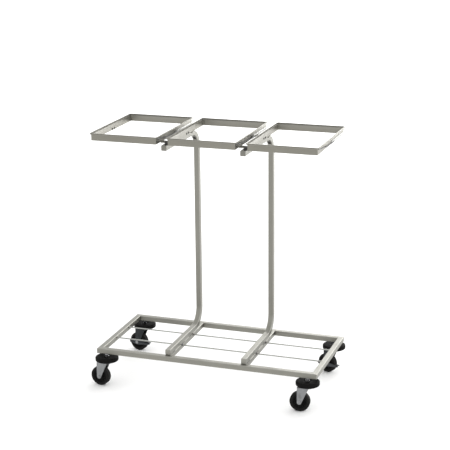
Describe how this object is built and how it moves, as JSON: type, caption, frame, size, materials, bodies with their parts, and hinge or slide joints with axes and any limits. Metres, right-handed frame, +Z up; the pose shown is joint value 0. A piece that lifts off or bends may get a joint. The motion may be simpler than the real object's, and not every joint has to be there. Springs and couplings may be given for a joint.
{
  "type": "linen trolley",
  "caption": "Castored linen trolley: rectangular tube base, C-shaped square tube uprights and a row of open bag frames with side clips, for hanging laundry bags.",
  "frame": {"origin": "on the floor under the middle of the whole, castors as stored; the middle of the base is 11 mm to the right of it, because the castors trail to the left", "axes": "+X to the trolley's right seen from the open side of the uprights, +Y to its back where the uprights stand, +Z up"},
  "size_m": [0.8978, 0.468, 0.98],
  "materials": {
    "satin_steel": "satin, finely brushed along each tube",
    "bright_wire": "bright drawn wire",
    "spring_steel": "satin spring strip and wire",
    "zinc_steel": "zinc plated pressings",
    "black_plastic": "moulded, fine grain",
    "grey_plastic": "moulded, satin",
    "black_rubber": "soft matt rubber"
  },
  "bodies": {
    "base": {"base_rail_front": "satin_steel", "shelf_wire_front": "bright_wire", "base_rail_rear": "satin_steel", "shelf_wire_rear": "bright_wire", "base_rail_left": "satin_steel", "base_cross_left": "satin_steel", "upright_left": "satin_steel", "foot_cap_left": "grey_plastic", "arm_cap_left": "grey_plastic", "arm_stop_left": "black_rubber", "frame_strap_left_front": "satin_steel", "frame_strap_left_rear": "satin_steel", "base_rail_right": "satin_steel", "base_cross_right": "satin_steel", "upright_right": "satin_steel", "foot_cap_right": "grey_plastic", "arm_cap_right": "grey_plastic", "arm_stop_right": "black_rubber", "frame_strap_right_front": "satin_steel", "frame_strap_right_rear": "satin_steel", "bag_frame_left": "satin_steel", "bag_clip_left_frame_left": "spring_steel", "bag_clip_left_frame_right": "spring_steel", "bag_frame_middle": "satin_steel", "bag_clip_middle_frame_left": "spring_steel", "bag_clip_middle_frame_right": "spring_steel", "bag_frame_right": "satin_steel", "bag_clip_right_frame_left": "spring_steel", "bag_clip_right_frame_right": "spring_steel", "castor_front_left_pin": "zinc_steel", "castor_front_left_bumper": "black_plastic", "castor_front_right_pin": "zinc_steel", "castor_front_right_bumper": "black_plastic", "castor_rear_left_pin": "zinc_steel", "castor_rear_left_bumper": "black_plastic", "castor_rear_right_pin": "zinc_steel", "castor_rear_right_bumper": "black_plastic"},
    "swivel_front_left": {"castor_front_left_fork": "zinc_steel", "castor_front_left_axle": "zinc_steel"},
    "wheel_front_left": {"castor_front_left_hub": "black_plastic", "castor_front_left_tyre": "black_rubber"},
    "swivel_front_right": {"castor_front_right_fork": "zinc_steel", "castor_front_right_axle": "zinc_steel"},
    "wheel_front_right": {"castor_front_right_hub": "black_plastic", "castor_front_right_tyre": "black_rubber"},
    "swivel_rear_left": {"castor_rear_left_fork": "zinc_steel", "castor_rear_left_axle": "zinc_steel"},
    "wheel_rear_left": {"castor_rear_left_hub": "black_plastic", "castor_rear_left_tyre": "black_rubber"},
    "brake_rear_left": {"castor_rear_left_brake_lever": "zinc_steel"},
    "swivel_rear_right": {"castor_rear_right_fork": "zinc_steel", "castor_rear_right_axle": "zinc_steel"},
    "wheel_rear_right": {"castor_rear_right_hub": "black_plastic", "castor_rear_right_tyre": "black_rubber"},
    "brake_rear_right": {"castor_rear_right_brake_lever": "zinc_steel"}
  },
  "joints": [
    {"name": "front_left_swivel", "type": "hinge", "parent": "base", "child": "swivel_front_left", "pos_m": [-0.383, -0.19, 0.098], "axis": [0, 0, 1], "continuous": true},
    {"name": "front_left_wheel_spin", "type": "hinge", "parent": "swivel_front_left", "child": "wheel_front_left", "pos_m": [-0.41089, -0.18756, 0.03751], "axis": [-0.0872, -0.9962, 0], "continuous": true},
    {"name": "front_right_swivel", "type": "hinge", "parent": "base", "child": "swivel_front_right", "pos_m": [0.405, -0.19, 0.098], "axis": [0, 0, 1], "continuous": true},
    {"name": "front_right_wheel_spin", "type": "hinge", "parent": "swivel_front_right", "child": "wheel_front_right", "pos_m": [0.37707, -0.19195, 0.03751], "axis": [0.0698, -0.9976, 0], "continuous": true},
    {"name": "rear_left_swivel", "type": "hinge", "parent": "base", "child": "swivel_rear_left", "pos_m": [-0.383, 0.19, 0.098], "axis": [0, 0, 1], "continuous": true},
    {"name": "rear_left_wheel_spin", "type": "hinge", "parent": "swivel_rear_left", "child": "wheel_rear_left", "pos_m": [-0.41058, 0.19486, 0.03751], "axis": [-0.1736, -0.9848, 0], "continuous": true},
    {"name": "rear_left_brake", "type": "hinge", "parent": "swivel_rear_left", "child": "brake_rear_left", "pos_m": [-0.41058, 0.19486, 0.03751], "axis": [0.1736, 0.9848, 0], "range_deg": [0, 16]},
    {"name": "rear_right_swivel", "type": "hinge", "parent": "base", "child": "swivel_rear_right", "pos_m": [0.405, 0.19, 0.098], "axis": [0, 0, 1], "continuous": true},
    {"name": "rear_right_wheel_spin", "type": "hinge", "parent": "swivel_rear_right", "child": "wheel_rear_right", "pos_m": [0.37869, 0.19958, 0.03751], "axis": [-0.342, -0.9397, 0], "continuous": true},
    {"name": "rear_right_brake", "type": "hinge", "parent": "swivel_rear_right", "child": "brake_rear_right", "pos_m": [0.37869, 0.19958, 0.03751], "axis": [0.342, 0.9397, 0], "range_deg": [0, 16]}
  ]
}
